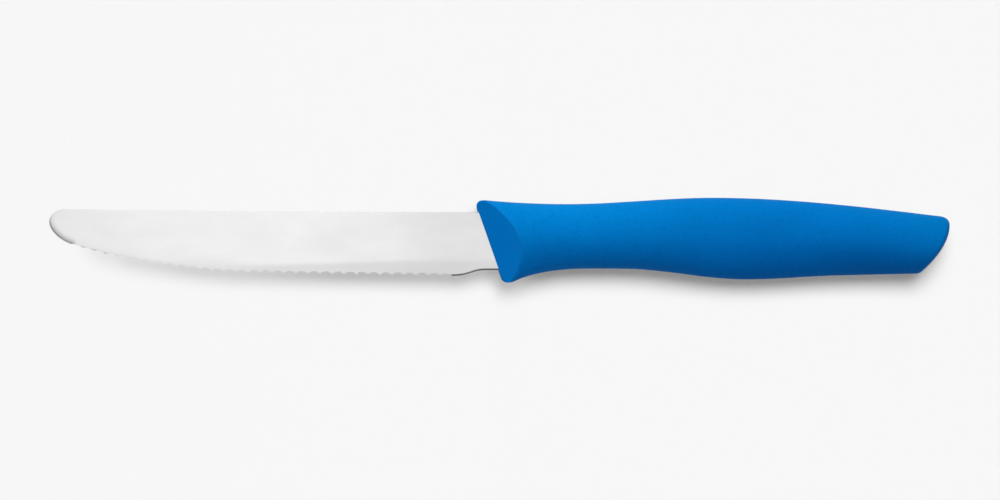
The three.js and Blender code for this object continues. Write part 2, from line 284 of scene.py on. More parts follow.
# Painted shade along the pieces, by share of the piece's length from its front end: the blade is darker
# towards its tip and the handle, standing in for a dimmer reflection there, and the handle darker and bluer
# towards its butt, standing in for light that falls off there
STEEL_PAINTED_SHADE = ((0.0, 0.93), (0.25, 0.985), (0.5, 1.0), (0.73, 0.97), (0.9, 0.845))
BLUE_PAINTED_SHADE = (
    (0.15, 1.0),
    (0.68, (0.81, 0.81, 0.88)),
    (0.85, (0.79, 0.79, 0.85)),
    (0.96, (0.81, 0.81, 0.83)),
)

# Painted light on the floor: it glows for camera and mirror rays to pale the cast shadow, by share of the
# blade's length from its tip and by distance behind the front line
TIP_GLOW = ((0.04, 1.0), (0.13, 0.66), (0.19, 0.49), (0.36, 0.34), (0.71, 0.0))
TOE_GLOW = ((-1.0 * MM, 0.0), (5.0 * MM, 0.34), (14.0 * MM, 0.0))

# Directions that the light comes from, and how wide the lamps look from the knife
KEY_FROM = (Vector((0.02, 0.415, 0.92)), Vector((0.18, 0.415, 0.92)))
FILL_FROM = Vector((-0.35, 0.9, 0.34))
BOUNCE_FROM = Vector((0.0, -0.95, -0.3))
KEY_WIDTH = math.radians(33)
WIDE_WIDTH = math.radians(60)

# Where the studio's sky is brightest, and its levels from the far side of it to there
SKY_FROM = Vector((0.35, 0.45, 0.82)).normalized()
SKY_LEVELS = ((0.0, 0.05), (0.33, 0.08), (0.45, 0.30), (0.68, 0.46), (0.84, 0.88), (0.91, 1.045))

# Half the floor's width, its gap to the knife, the picture's middle from the origin, the camera's reach
FLOOR_REACH = 10.0
FLOOR_GAP = 0.02 * MM
PICTURE_MIDDLE = Vector((2.69 * MM, -2.5 * MM, 0.0))
CAMERA_REACH = 100.0

# Sockets of the Mix node when it mixes colours
MIX_FACTOR, MIX_FIRST, MIX_SECOND, MIX_RESULT = 0, 6, 7, 2

# What is worked out once for a column of the blade's flank, and for a ring of the handle's
BladeColumn = namedtuple("BladeColumn", "point spine band slope chamfer broken near_tip distances")
HandleRing = namedtuple("HandleRing", "top bottom thick lean near_front near_butt")


def length_setting(name, description, default):
    return FloatProperty(
        name=name, description=description, default=default, min=0.0,
        unit="LENGTH", subtype="DISTANCE", precision=5,
    )


def share_setting(name, description, default):
    return FloatProperty(
        name=name, description=description, default=default, min=0.0, max=1.0, subtype="FACTOR",
    )


def angle_setting(name, description, default):
    return FloatProperty(
        name=name, description=description, default=math.radians(default),
        unit="ROTATION", subtype="ANGLE",
    )


def colour_setting(name, description, default):
    return FloatVectorProperty(
        name=name, description=description, default=default, size=3, min=0.0, max=1.0, subtype="COLOR",
    )


def strength_setting(name, description, default):
    return FloatProperty(name=name, description=description, default=default, min=0.0)


class KnifeBladeSettings(bpy.types.PropertyGroup):
    tooth_pitch: length_setting("Tooth pitch", "Distance between the points of two teeth", 3.0 * MM)
    tooth_depth: length_setting("Tooth depth", "How far a hollow rises between two teeth", 0.68 * MM)
    nose_angle: angle_setting("Nose angle", "Slope of the ground band at the nose", 2.7)
    grind_angle: angle_setting("Grind angle", "Slope of the ground band in its middle", 6.5)
    heel_angle: angle_setting("Heel angle", "Slope of the ground band at the heel", 3.4)
    nose_band: length_setting("Nose band", "Height of the ground band at the first tooth", 0.6 * MM)
    heel_band: length_setting("Heel band", "Height of the ground band at the last tooth", 3.72 * MM)
    edge_round: length_setting("Edge rounding", "Width of the fine rounding along every edge", 0.03 * MM)
    spine_round: length_setting("Spine rounding", "Width of the rounding along the spine", 0.22 * MM)
    chamfer_angle: angle_setting("Chamfer angle", "Slope of the broken edges", 38.0)
    tip_chamfer: length_setting("Tip chamfer", "Width of the broken edge round the tip", 0.32 * MM)
    tip_fall: length_setting("Tip fall", "Width of the soft fall inside the tip's edge", 1.7 * MM)
    choil_chamfer: length_setting("Choil chamfer", "Width of the broken edge along the choil", 0.41 * MM)
    rim: length_setting("Rim", "Half the thickness that a broken edge leaves", 0.03 * MM)
    steel: colour_setting("Steel", "Colour of the satin steel", (0.93, 0.93, 0.93))
    roughness: share_setting("Roughness", "Roughness of the blade's flats", 0.27)


class KnifeHandleSettings(bpy.types.PropertyGroup):
    facet_angle: angle_setting("Facet angle", "Slope of the two front facets to the blade", 38.0)
    facet_lead: length_setting("Facet lead", "How far the facets run out over the front line", 0.3 * MM)
    facet_round: length_setting("Facet rounding", "Softness of the line from facet to flank", 0.3 * MM)
    front_round: length_setting("Front rounding", "Width of the rounding along the front rim", 0.3 * MM)
    butt_round: length_setting("Butt rounding", "Width of the rounding round the slanted butt", 1.4 * MM)
    slot_gap: length_setting("Slot gap", "Gap between the blade and the slot that it enters", 0.06 * MM)
    blue: colour_setting("Blue", "Colour of the moulding", (0.0004, 0.165, 0.51))
    sheen: colour_setting("Sheen", "Colour of the moulding's dull shine", (0.0, 0.75, 1.0))
    roughness: share_setting("Roughness", "Roughness of the moulded surface", 0.62)


class KnifeStageSettings(bpy.types.PropertyGroup):
    floor: colour_setting("Floor", "Colour of the floor", (0.93, 0.93, 0.93))
    key_strength: strength_setting("Key", "Strength of the main lamps", 1.752)
    top_strength: strength_setting("Top", "Strength of the lamps that only the handle holds back", 0.8355)
    bounce_strength: strength_setting("Bounce", "Strength of the light thrown up by the floor", 0.45)
    fill_strength: strength_setting("Fill", "Strength of the low lamp", 2.10)
    fill_colour: colour_setting("Fill colour", "Slightly warm colour of the low lamp", (1.0, 1.0, 0.73))
    ambient: colour_setting("Ambient", "Even, cool light on matt surfaces", (0.03, 0.03, 0.09))
    lens: FloatProperty(
        name="Lens", description="Focal length of the camera, in millimetres", default=135.0, min=1.0,
        unit="CAMERA",
    )
    view_width: length_setting("View width", "Width of the picture at the blade", 250.0 * MM)


def bezier(points, share):
    """The point of a Bezier curve, from its control points."""
    while len(points) > 1:
        points = [here.lerp(there, share) for here, there in zip(points, points[1:])]
    return points[0]


def curve(*points):
    """Close points along a Bezier curve."""
    return [bezier(points, step / CURVE_STEPS) for step in range(CURVE_STEPS + 1)]


def by_length(points):
    """A function from a share of a line's length to the point there."""
    lengths = [0.0]
    for here, there in zip(points, points[1:]):
        lengths.append(lengths[-1] + (there - here).length)

    def at(share):
        wanted = share * lengths[-1]
        index = next((i for i, length in enumerate(lengths) if length >= wanted), len(points) - 1)
        if index == 0:
            return points[0].copy()
        span = lengths[index] - lengths[index - 1]
        return points[index - 1].lerp(points[index], (wanted - lengths[index - 1]) / span)

    at.length = lengths[-1]
    return at


def line_through(stations, place):
    """The value at a place of a smooth line through stations, which runs on straight past both ends."""
    if place <= stations[0][0] or place >= stations[-1][0]:
        at, value, slope = stations[0] if place <= stations[0][0] else stations[-1]
        return value + slope * (place - at)
    after = next(i for i, station in enumerate(stations) if station[0] > place)
    at0, value0, slope0 = stations[after - 1]
    at1, value1, slope1 = stations[after]
    span = at1 - at0
    t = (place - at0) / span
    pulls = t * (1 - t) ** 2 * slope0 * span + t * t * (t - 1) * slope1 * span
    return mix(value0, value1, smooth_step(t)) + pulls


def mix(low, high, share):
    return low + (high - low) * share


def smooth_step(share):
    share = min(max(share, 0.0), 1.0)
    return share * share * (3 - 2 * share)


def soft_min(a, b, softness):
    """The smaller of two values, rounded where they are within a softness of each other."""
    near = max(softness - abs(a - b), 0.0) / softness
    return min(a, b) - near * near * softness / 4


def quarter_round(distance, width):
    """The share of its full thickness that a rounded rim has at a distance from its edge."""
    if distance >= width:
        return 1.0
    inward = 1 - max(distance, 0.0) / width
    return math.sqrt(1 - inward * inward)


def spaced(first, end, count):
    """Even steps from a place to an end, without the place itself."""
    return [mix(first, end, (i + 1) / count) for i in range(count)]


def paced(start, stretches):
    """Places from a start through stretches of an end and the step to keep there."""
    places = [start]
    for end, step in stretches:
        count = max(1, round((end - places[-1]) / step))
        places += spaced(places[-1], end, count)
    return places


def flank_pair(columns, rows, place, layers):
    """A closed shell from one flank and its mirror image. The flank is a grid whose points are put in
    place by a function of column and row, which gives the point and a value for each named layer."""
    bm = bmesh.new()
    bmesh.ops.create_grid(bm, x_segments=columns, y_segments=rows, size=0.5)
    tags = [bm.verts.layers.float.new(name) for name in layers]
    for vert in bm.verts:
        column = round((vert.co.x + 0.5) * columns)
        row = round((vert.co.y + 0.5) * rows)
        vert.co, values = place(column, row)
        for tag, value in zip(tags, values):
            vert[tag] = value

    # A corner's face is split through its one raised point, so that no half of it lies on its mirror image
    for face in bm.faces[:]:
        raised = [index for index, vert in enumerate(face.verts) if abs(vert.co.z) > NO_LENGTH]
        if len(raised) == 1:
            bmesh.utils.face_split(face, face.verts[raised[0]], face.verts[raised[0] - 2])

    everything = bm.verts[:] + bm.edges[:] + bm.faces[:]
    bmesh.ops.mirror(bm, geom=everything, matrix=Matrix.Identity(4), merge_dist=0.0, axis="Z")
    bmesh.ops.remove_doubles(bm, verts=bm.verts, dist=SAME_POINT)
    bmesh.ops.dissolve_degenerate(bm, edges=bm.edges, dist=NO_LENGTH)
    bmesh.ops.recalc_face_normals(bm, faces=bm.faces)
    return bm


def grow(bm, faces, way):
    """Extrudes faces by a vector."""
    grown = bmesh.ops.extrude_face_region(bm, geom=faces)["geom"]
    verts = [item for item in grown if isinstance(item, bmesh.types.BMVert)]
    bmesh.ops.translate(bm, verts=verts, vec=way)


def object_from(bm, name):
    """An object of a finished bmesh, in the scene."""
    mesh = bpy.data.meshes.new(name)
    bm.to_mesh(mesh)
    bm.free()
    made = bpy.data.objects.new(name, mesh)
    bpy.context.scene.collection.objects.link(made)
    return made


def piece_from(bm, name):
    """An object of a bmesh that is moved from the drawing origin to its place in the frame."""
    bmesh.ops.translate(bm, verts=bm.verts, vec=ORIGIN)
    return object_from(bm, name)


def shade(piece, sharp_angle):
    """Smooth faces, with edges kept sharp where the surface turns by more than an angle."""
    bm = bmesh.new()
    bm.from_mesh(piece.data)
    for face in bm.faces:
        face.smooth = True
    for edge in bm.edges:
        edge.smooth = len(edge.link_faces) == 2 and edge.calc_face_angle() < sharp_angle
    bm.to_mesh(piece.data)
    bm.free()


def dress(piece, node_name, material):
    """Gives a piece its material, hangs it on the root body and hides the part of the model that it stands
    for.
    A piece throws no light of its own colour on the floor."""
    piece.data.materials.clear()
    piece.data.materials.append(material)
    piece.visible_diffuse = False
    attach(piece, "root")
    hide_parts(node_name)


def cut(piece, cutter):
    """Takes the cutter's solid out of a piece and removes the cutter."""
    modifier = piece.modifiers.new("Cut", "BOOLEAN")
    modifier.operation = "DIFFERENCE"
    modifier.solver = "EXACT"
    modifier.object = cutter
    depsgraph = bpy.context.evaluated_depsgraph_get()
    mesh = bpy.data.meshes.new_from_object(piece.evaluated_get(depsgraph))
    piece.modifiers.clear()
    piece.data = mesh
    piece.data.name = piece.name
    bpy.data.objects.remove(cutter)


def tooth_line():
    """The line of the tooth points: a curved belly, then a straight run to the heel."""
    front = Vector((math.cos(FIRST_TOOTH_SLOPE), -math.sin(FIRST_TOOTH_SLOPE)))
    rear = (HEEL - BELLY_END).normalized()
    belly = curve(
        FIRST_TOOTH,
        FIRST_TOOTH + front * BELLY_FRONT_PULL,
        BELLY_END - rear * BELLY_REAR_PULL,
        BELLY_END,
    )
    return by_length(belly + [HEEL])


def tip_line():
    """The outline round the tip, from the first tooth up and over to the spine."""
    foremost = Vector((-BLADE_LENGTH, TIP_RISE))
    forward = Vector((-math.cos(FIRST_TOOTH_SLOPE), math.sin(FIRST_TOOTH_SLOPE)))
    nose = curve(
        FIRST_TOOTH,
        FIRST_TOOTH + forward * NOSE_LOWER_PULL,
        foremost - Vector((0, NOSE_UPPER_PULL)),
        foremost,
    )
    centre = foremost + Vector((TIP_ROUND_LENGTH, 0))
    height = SPINE_RISE_AT_TIP - TIP_RISE
    turns = spaced(0.0, math.pi / 2, CURVE_STEPS)
    over = [centre + Vector((-TIP_ROUND_LENGTH * math.cos(a), height * math.sin(a))) for a in turns]
    return by_length(nose + over)


def tip_distance(tip):
    """A function from a point in the blade's plane to its distance from the outline round the tip."""
    rim = KDTree(TIP_LINE_STEPS + 1)
    for step in range(TIP_LINE_STEPS + 1):
        rim.insert(tip(step / TIP_LINE_STEPS).to_3d(), step)
    rim.balance()
    return lambda point: rim.find(point.to_3d())[2]


def spine_y(x):
    """The spine runs level out of the handle and lifts slightly towards the tip."""
    share = min(x / (-BLADE_LENGTH + TIP_ROUND_LENGTH), 1.0)
    return mix(SPINE_RISE_AT_HANDLE, SPINE_RISE_AT_TIP, max(share, 0.0) ** 2)


def edge_columns(settings):
    """Columns along the lower outline from the first tooth into the handle. Each holds the outline's point,
    the rise of a hollow over the tooth line, and the share of the toothed run."""
    line = tooth_line()
    teeth = round(line.length / settings.tooth_pitch)
    columns = []
    for tooth in range(teeth):
        here, there = line(tooth / teeth), line((tooth + 1) / teeth)
        along = (there - here).normalized()
        inward = Vector((-along.y, along.x))
        half = (there - here).length / 2
        full = smooth_step(tooth / teeth / FULL_DEPTH_SHARE)
        depth = settings.tooth_depth * mix(NOSE_DEPTH_SHARE, 1.0, full)
        radius = (half * half + depth * depth) / (2 * depth)
        shares = [step / TOOTH_STEPS for step in range(TOOTH_STEPS)]
        if tooth == 0:
            shares = [(step / FIRST_TOOTH_STEPS) ** FIRST_TOOTH_CROWDING for step in range(FIRST_TOOTH_STEPS)]
        for share in shares:
            across = mix(-half, half, share)
            rise = depth - radius + math.sqrt(radius * radius - across * across)
            columns.append((here.lerp(there, share) + inward * rise, rise, (tooth + share) / teeth))
    middle = HEEL.x + CHOIL_BEND
    ricasso = Vector((HEEL.x + CHOIL_LENGTH, -RICASSO_DROP))
    step_up = (HEEL, Vector((middle, HEEL.y)), Vector((middle, ricasso.y)), ricasso)
    columns += [(bezier(step_up, step / CHOIL_STEPS), 0.0, 1.0) for step in range(CHOIL_STEPS + 1)]
    hidden = paced(ricasso.x, [(SHOULDER_DEPTH, HIDDEN_STEP)])[1:]
    columns += [(Vector((x, -RICASSO_DROP)), 0.0, 1.0) for x in hidden]
    return columns


def blade_rows(band_top, height, spine_round):
    """Distances from the edge at which the rows cross the blade."""
    spine_zone = SPINE_ZONE_ROUNDINGS * spine_round
    rows = [step * EDGE_ZONE for step in EDGE_STEPS]
    rows += spaced(rows[-1], band_top - BAND_CREASE, BAND_ROWS)
    rows += spaced(rows[-1], band_top + BAND_CREASE, CREASE_ROWS)
    rows += spaced(rows[-1], height - spine_zone, FLAT_ROWS)
    return rows + [height - spine_zone * step for step in SPINE_STEPS]


def blade_column(settings, point, rise, share, tip_chord):
    """The blade along one column, from a point of its lower outline up to the spine."""
    lead = 1 - smooth_step((point.x - FIRST_TOOTH.x) / SPINE_REACH)
    x = point.x + tip_chord.x * lead
    spine = Vector((x, spine_y(x)))
    band_stations = (
        (0.0, settings.nose_band, NOSE_BAND_GROWTH),
        (FULL_BAND_SHARE, settings.heel_band, HEEL_BAND_GROWTH),
    )
    band = line_through(band_stations, min(share, FULL_BAND_SHARE)) - rise
    if point.x > HEEL.x:
        band = HEEL.y + settings.heel_band - point.y
    steeper = smooth_step((share - STEEPER_FROM) / STEEPER_OVER)
    flatter = smooth_step((point.x - HEEL.x) / FLATTER_OVER + 1)
    angle = mix(settings.nose_angle, settings.grind_angle, steeper)
    slope = math.tan(mix(angle, settings.heel_angle, flatter))
    blunt = max(1 - rise / (NOSE_DEPTH_SHARE * settings.tooth_depth), 0.0) ** BLUNT_FULLNESS
    blunt *= 1 - smooth_step(share / BLUNT_POINTS_SHARE)
    past_heel = smooth_step((point.x - HEEL.x) / CHOIL_EDGE_LEAD + 1)
    chamfer = mix(settings.tip_chamfer * blunt, settings.choil_chamfer, past_heel)
    widest = (BLADE_THICKNESS / 2 - band * slope - settings.rim) / math.tan(settings.chamfer_angle)
    band_top = max(band, EDGE_ZONE + 2 * BAND_CREASE)
    return BladeColumn(
        point=point,
        spine=spine,
        band=band,
        slope=slope,
        chamfer=min(chamfer, widest),
        # How strongly the edge carries painted shade and a smoother finish
        broken=max(BLUNT_POLISH_AND_SHADE * blunt, past_heel),
        near_tip=max(1 - (point.x - FIRST_TOOTH.x) / TIP_REACH, 0.0) ** 2,
        distances=blade_rows(band_top, (spine - point).length, settings.spine_round),
    )


def blade_shell(settings):
    """The blade from its tip to the shoulders: flats, ground bands, scallops, and rounded or broken rims."""
    half = BLADE_THICKNESS / 2
    tip = tip_line()
    tip_chord = tip(1.0) - FIRST_TOOTH
    distance_from_tip = tip_distance(tip)
    columns = [blade_column(settings, *edge, tip_chord) for edge in edge_columns(settings)]

    def place(index, row):
        column = columns[index]
        from_edge = column.distances[row]
        height = column.distances[-1]
        share = from_edge / height
        bulge = tip(share) - FIRST_TOOTH - tip_chord * share
        here = column.point.lerp(column.spine, share) + bulge * column.near_tip
        from_tip = distance_from_tip(here) if index else 0.0
        below = smooth_step((TIP_EDGE_SHARE - share) / TIP_EDGE_FADE)
        z = soft_min(half - (column.band - from_edge) * column.slope, half, BAND_SOFTNESS)
        z *= 1 - TIP_FALL_SHARE * below * max(1 - from_tip / settings.tip_fall, 0.0) ** 2
        taken = max(column.chamfer - from_edge, settings.tip_chamfer * below - from_tip, 0.0)
        z = max(z - taken * math.tan(settings.chamfer_angle), settings.rim)
        z *= quarter_round(from_edge, settings.edge_round)
        z *= quarter_round(height - from_edge, settings.spine_round)
        z *= quarter_round(from_tip, settings.edge_round)
        in_band = 1 - smooth_step((from_edge - column.band + BAND_CREASE) / (2 * BAND_CREASE))
        # Strips along the lower edge and round the tip carry painted shade and a smoother finish, the spine's
        # strip only the smoother finish
        lower_edge = column.broken * max(1 - from_edge / POLISH_AND_SHADE_WIDTH, 0.0)
        tip_edge = below * (1 - from_tip / POLISH_AND_SHADE_WIDTH)
        spine_edge = 1 - (height - from_edge) / POLISH_AND_SHADE_WIDTH
        polish_and_shade = max(lower_edge, tip_edge, 0.0)
        return (here.x, here.y, z), (in_band, polish_and_shade, max(polish_and_shade, spine_edge))

    rows = len(columns[0].distances)
    return flank_pair(len(columns) - 1, rows - 1, place, ("ground_band", "broken_edge", "worn_edge"))


def add_tang(bm):
    """Closes the blade's rear end and draws the tang out of the middle of it."""
    end = bmesh.ops.edgenet_fill(bm, edges=[edge for edge in bm.edges if edge.is_boundary])["faces"]
    for y in (TANG_RISE, -TANG_DROP):
        geom = end[:]
        geom += [edge for face in end for edge in face.edges]
        geom += [vert for face in end for vert in face.verts]
        bmesh.ops.bisect_plane(
            bm, geom=list(dict.fromkeys(geom)), plane_co=(0, y, 0), plane_no=(0, 1, 0), dist=SAME_POINT,
        )
        end = [
            face for face in bm.faces
            if all(abs(vert.co.x - SHOULDER_DEPTH) < SAME_POINT for vert in face.verts)
        ]
    middle = [face for face in end if -TANG_DROP < face.calc_center_median().y < TANG_RISE]
    grow(bm, middle, (TANG_DEPTH - SHOULDER_DEPTH, 0, 0))
    bmesh.ops.delete(bm, geom=middle, context="FACES_ONLY")
    bmesh.ops.recalc_face_normals(bm, faces=bm.faces)


def top_y(x):
    return line_through(TOP_STATIONS, x)


def bottom_y(x):
    return line_through(BOTTOM_STATIONS, x)


def front_line():
    """The handle's front outline from the top line, round its corner and down the rim to the toe."""
    top = Vector((rim_x(COLLAR_RISE), COLLAR_RISE))
    rim_end = Vector((rim_x(-TOE_RIM_END), -TOE_RIM_END))
    top_start = Vector((top.x + FRONT_TOP_ROUND, top_y(top.x + FRONT_TOP_ROUND)))
    corner = curve(top_start, top, top + (rim_end - top).normalized() * FRONT_TOP_ROUND)
    toe = curve(
        rim_end,
        Vector((rim_x(-TOE_FLAT_DROP), -TOE_FLAT_DROP)),
        Vector((TOE_BOTTOM_START - TOE_BOTTOM_PULL, -TOE_FLAT_DROP)),
        Vector((TOE_BOTTOM_START, bottom_y(TOE_BOTTOM_START))),
    )
    return by_length(corner + toe)


def butt_line():
    """The slanted butt from the top line down to the bottom line."""
    top_x = HANDLE_LENGTH - BUTT_CORNER_LENGTH
    heel_x = HANDLE_LENGTH - BUTT_SLANT_LENGTH
    point = Vector((HANDLE_LENGTH, BUTT_POINT_RISE))
    top = Vector((top_x, top_y(top_x)))
    heel = Vector((heel_x, bottom_y(heel_x)))
    bottom = Vector((heel_x - BUTT_HEEL_ROUND, bottom_y(heel_x - BUTT_HEEL_ROUND)))
    corner = curve(top, Vector((HANDLE_LENGTH, top_y(HANDLE_LENGTH))), point)
    slant = curve(point, point + BUTT_UPPER_PULL, heel + BUTT_LOWER_PULL, heel)
    slant = [place for place in slant[1:] if (place - heel).length > BUTT_HEEL_ROUND]
    return by_length(corner + slant + curve(slant[-1], heel, bottom)[1:])


def handle_ring(front, butt, at, length):
    """The handle's section at a distance from its front: a slanted line with its thickness."""
    top_x = mix(front[0].x, butt[0].x, at / length)
    bottom_x = mix(front[-1].x, butt[-1].x, at / length)
    middle_x = (top_x + bottom_x) / 2
    return HandleRing(
        top=Vector((top_x, top_y(top_x))),
        bottom=Vector((bottom_x, bottom_y(bottom_x))),
        thick=line_through(THICKNESS_STATIONS, middle_x) / 2,
        lean=line_through(LEAN_STATIONS, middle_x),
        near_front=max(1 - at / FRONT_REACH, 0.0) ** 2,
        near_butt=max(1 - (length - at) / BUTT_REACH, 0.0) ** 2,
    )


def handle_shell(settings):
    """The moulding: sections that turn from the slanted front to the slanted butt, cut by two facets."""
    turns = [math.pi * row / HANDLE_ROWS for row in range(HANDLE_ROWS + 1)]
    shares = [(1 - math.cos(turn)) / 2 for turn in turns]
    swells = [max(math.sin(turn), 0.0) for turn in turns]
    front_at, butt_at = front_line(), butt_line()
    front = [front_at(share) for share in shares]
    butt = [butt_at(share) for share in shares]
    front_bulge = [point - front[0].lerp(front[-1], share) for point, share in zip(front, shares)]
    butt_bulge = [point - butt[0].lerp(butt[-1], share) for point, share in zip(butt, shares)]
    length = butt[0].x - front[0].x
    stretches = [FIRST_RINGS, (settings.front_round, FRONT_ROUND_STEP), *FRONT_RINGS]
    stretches += [(length - left, step) for left, step in BUTT_RINGS]
    rings = [handle_ring(front, butt, at, length) for at in paced(0.0, stretches)]

    def place(index, row):
        ring = rings[index]
        here = ring.top.lerp(ring.bottom, shares[row])
        here = here + front_bulge[row] * ring.near_front + butt_bulge[row] * ring.near_butt
        swell = swells[row]
        fall = 1 + ring.lean * math.sqrt(swell) if shares[row] > 0.5 else 1
        body = ring.thick * swell ** fall
        depth = here.x * math.cos(FRONT_RAKE) + here.y * math.sin(FRONT_RAKE)
        slant = (depth + settings.facet_lead) * math.tan(settings.facet_angle)
        facet = max(BLADE_THICKNESS / 2 + slant, 0.0)
        from_front = (here - front[row]).length
        from_butt = (here - butt[row]).length
        z = max(soft_min(body, facet, settings.facet_round), 0.0)
        z *= quarter_round(from_front, settings.front_round)
        z *= quarter_round(from_butt, settings.butt_round)
        if row in (0, HANDLE_ROWS) or index in (0, len(rings) - 1):
            z = 0.0
        crease = 1 - abs(body - facet) / WORN_CREASE_WIDTH if body > WORN_CREASE_START else 0.0
        rim = 1 - min(from_front / WORN_FRONT_WIDTH, from_butt / WORN_BUTT_WIDTH)
        # on_facet carries the facets' painted light and their fainter mottling
        on_facet = smooth_step((body - facet) / FACET_BLEND)
        return (here.x, here.y, z), (max(crease, rim, 0.0), on_facet)

    return flank_pair(len(rings) - 1, HANDLE_ROWS, place, ("worn_edge", "front_facet"))


def tang_slot(settings):
    """The space that the blade's rear end and tang fill in the handle."""
    gap = settings.slot_gap
    mouth = rim_x(COLLAR_RISE) - FRONT_TOP_ROUND
    shoulder = SHOULDER_DEPTH + gap
    outline = (
        (mouth, -RICASSO_DROP - gap),
        (shoulder, -RICASSO_DROP - gap),
        (shoulder, -TANG_DROP - gap),
        (TANG_DEPTH + gap, -TANG_DROP - gap),
        (TANG_DEPTH + gap, TANG_RISE + gap),
        (shoulder, TANG_RISE + gap),
        (shoulder, SPINE_RISE_AT_HANDLE + gap),
        (mouth, SPINE_RISE_AT_HANDLE + gap),
    )
    thickness = BLADE_THICKNESS + 2 * gap
    bm = bmesh.new()
    face = bm.faces.new([bm.verts.new((x, y, -thickness / 2)) for x, y in outline])
    grow(bm, [face], (0, 0, thickness))
    bmesh.ops.recalc_face_normals(bm, faces=bm.faces)
    return piece_from(bm, "tang_slot")


def add_node(tree, kind, inputs=None, **settings):
    """A new node with its settings, and its inputs set to values or linked to other nodes' outputs."""
    made = tree.nodes.new(kind)
    for name, value in settings.items():
        setattr(made, name, value)
    for name, value in (inputs or {}).items():
        if isinstance(value, bpy.types.NodeSocket):
            tree.links.new(value, made.inputs[name])
        else:
            made.inputs[name].default_value = value
    return made


def mapped(tree, value, low, high, to_low, to_high):
    """A value carried from one range to another, held at both ends."""
    inputs = {"Value": value, "From Min": low, "From Max": high, "To Min": to_low, "To Max": to_high}
    return add_node(tree, "ShaderNodeMapRange", inputs).outputs["Result"]


def maths(tree, operation, first, second):
    return add_node(tree, "ShaderNodeMath", {0: first, 1: second}, operation=operation).outputs[0]


def times(tree, first, second):
    return maths(tree, "MULTIPLY", first, second)


def tinted(tree, factor, first, second, blend="MIX"):
    """Two colours mixed by a factor."""
    inputs = {MIX_FACTOR: factor, MIX_FIRST: first, MIX_SECOND: second}
    made = add_node(tree, "ShaderNodeMix", inputs, data_type="RGBA", blend_type=blend)
    return made.outputs[MIX_RESULT]


def rgba(colour):
    return (*colour, 1.0)


def attribute(tree, name):
    """A value that the mesh holds at its points."""
    return add_node(tree, "ShaderNodeAttribute", attribute_name=name).outputs["Fac"]


def object_place(tree):
    return add_node(tree, "ShaderNodeTexCoord").outputs["Object"]


def new_group(name, inputs, output):
    """An empty shader node group with its sockets."""
    group = bpy.data.node_groups.new(name, "ShaderNodeTree")
    for socket, kind, default in inputs:
        made = group.interface.new_socket(name=socket, in_out="INPUT", socket_type=kind)
        made.default_value = default
    group.interface.new_socket(name=output, in_out="OUTPUT", socket_type="NodeSocketFloat")
    return group, group.nodes.new("NodeGroupInput"), group.nodes.new("NodeGroupOutput")


def grain_group():
    """Noise whose grains have a length along each axis, in metres."""
    name = "Grain"
    if name in bpy.data.node_groups:
        return bpy.data.node_groups[name]
    inputs = (("Size", "NodeSocketVector", (MM, MM, MM)), ("Detail", "NodeSocketFloat", 2.0))
    group, given, result = new_group(name, inputs, "Grain")
    sized = {0: object_place(group), 1: given.outputs["Size"]}
    scaled = add_node(group, "ShaderNodeVectorMath", sized, operation="DIVIDE")
    noise = add_node(group, "ShaderNodeTexNoise", {
        "Vector": scaled.outputs["Vector"],
        "Scale": 1.0,
        "Detail": given.outputs["Detail"],
        "Roughness": 0.55,
    })
    group.links.new(noise.outputs["Fac"], result.inputs["Grain"])
    return group


def wear_group():
    """A broken mask along the edges that handling rubs bright."""
    name = "Worn Edges"
    if name in bpy.data.node_groups:
        return bpy.data.node_groups[name]
    group, given, result = new_group(name, (("Amount", "NodeSocketFloat", 0.5),), "Wear")
    noise = add_node(group, "ShaderNodeTexNoise", {
        "Vector": object_place(group),
        "Scale": 1 / WEAR_PATCH,
        "Detail": 3.0,
    })
    broken = mapped(group, noise.outputs["Fac"], NOISE_LOW, NOISE_HIGH, 0.35, 1.0)
    rubbed = times(group, times(group, attribute(group, "worn_edge"), broken), given.outputs["Amount"])
    group.links.new(rubbed, result.inputs["Wear"])
    return group


def grain(tree, size, detail):
    inputs = {"Size": size, "Detail": detail}
    return add_node(tree, "ShaderNodeGroup", inputs, node_tree=grain_group()).outputs["Grain"]


def wear(tree, amount):
    inputs = {"Amount": amount}
    return add_node(tree, "ShaderNodeGroup", inputs, node_tree=wear_group()).outputs["Wear"]


def set_stops(ramp, stops):
    """Fills a colour ramp with colours, or with greys where a stop has a single level."""
    elements = ramp.color_ramp.elements
    while len(elements) < len(stops):
        elements.new(0.5)
    for element, (at, level) in zip(elements, stops):
        element.position = at
        element.color = rgba(level if isinstance(level, tuple) else (level, level, level))


def painted_light_along(tree, stops):
    """Painted light and shade that change slowly along the knife, from stops of place and level."""
    x = add_node(tree, "ShaderNodeSeparateXYZ", {0: object_place(tree)}).outputs["X"]
    low, high = CAD_BOX[0].x, CAD_BOX[1].x
    ramp = add_node(tree, "ShaderNodeValToRGB", {"Fac": mapped(tree, x, low, high, 0.0, 1.0)})
    ramp.color_ramp.interpolation = "EASE"
    set_stops(ramp, [((at - low) / (high - low), level) for at, level in stops])
    return ramp.outputs["Color"]


def blade_stops(stops):
    """Stops given by shares of the blade's length from its tip, with their places."""
    return [(BLADE_LOW.x + share * BLADE_LENGTH, level) for share, level in stops]


def handle_stops(stops):
    """Stops given by shares of the handle's length from its front line, with their places."""
    return [(ORIGIN.x + share * HANDLE_LENGTH, level) for share, level in stops]


def new_material(name):
    material = bpy.data.materials.new(name)
    material.use_nodes = True
    tree = material.node_tree
    return material, tree, tree.nodes["Principled BSDF"]


def add_bump(tree, shader, height, strength, distance):
    """Roughens a shader's surface by a height."""
    inputs = {"Strength": strength, "Distance": distance, "Height": height}
    bump = add_node(tree, "ShaderNodeBump", inputs)
    tree.links.new(bump.outputs["Normal"], shader.inputs["Normal"])


